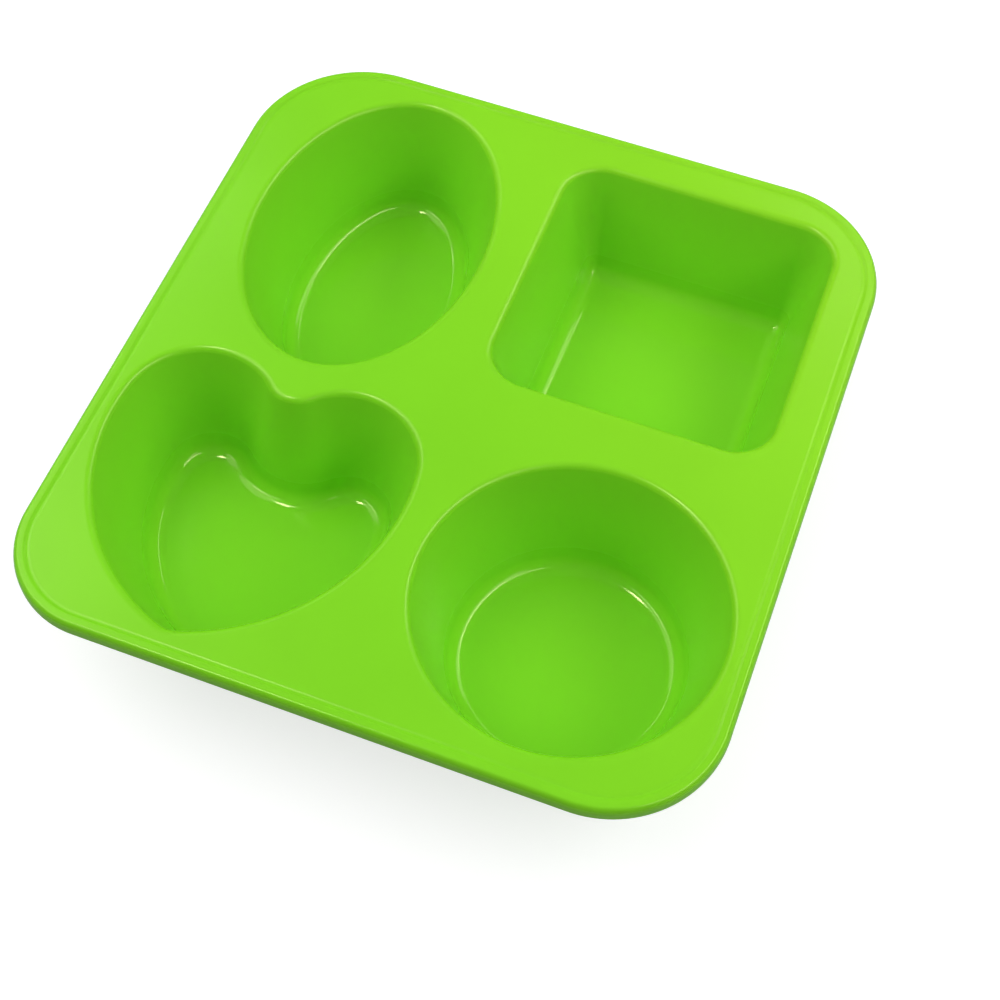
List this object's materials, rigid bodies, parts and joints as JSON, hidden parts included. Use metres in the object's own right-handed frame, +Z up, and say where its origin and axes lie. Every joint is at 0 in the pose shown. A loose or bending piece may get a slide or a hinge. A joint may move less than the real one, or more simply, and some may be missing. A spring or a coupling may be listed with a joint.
{
  "type": "silicone soap mould",
  "caption": "Flexible silicone tray mould for soap, with oval, square, heart and round cavities that hang from a flat deck with a raised bead at its edge.",
  "frame": {"origin": "on the table under the middle of the tray", "axes": "+Z up out of the cavities, +Y to the back where the oval and the square are, +X to the right"},
  "size_m": [0.1826, 0.195, 0.0375],
  "materials": {
    "silicone": "smooth glossy, slightly translucent moulded silicone"
  },
  "bodies": {
    "tray": {"deck": "silicone", "rim": "silicone", "oval_wall": "silicone", "square_wall": "silicone", "heart_wall": "silicone", "round_wall": "silicone"},
    "oval_base": {"oval_floor": "silicone"},
    "square_base": {"square_floor": "silicone"},
    "heart_base": {"heart_floor": "silicone"},
    "round_base": {"round_floor": "silicone"}
  },
  "joints": [
    {"name": "oval_push", "type": "slide", "parent": "tray", "child": "oval_base", "axis": [0, 0, 1], "range_m": [0, 0.01], "stiffness_N_per_m": 600},
    {"name": "square_push", "type": "slide", "parent": "tray", "child": "square_base", "axis": [0, 0, 1], "range_m": [0, 0.01], "stiffness_N_per_m": 600},
    {"name": "heart_push", "type": "slide", "parent": "tray", "child": "heart_base", "axis": [0, 0, 1], "range_m": [0, 0.01], "stiffness_N_per_m": 600},
    {"name": "round_push", "type": "slide", "parent": "tray", "child": "round_base", "axis": [0, 0, 1], "range_m": [0, 0.01], "stiffness_N_per_m": 600}
  ]
}
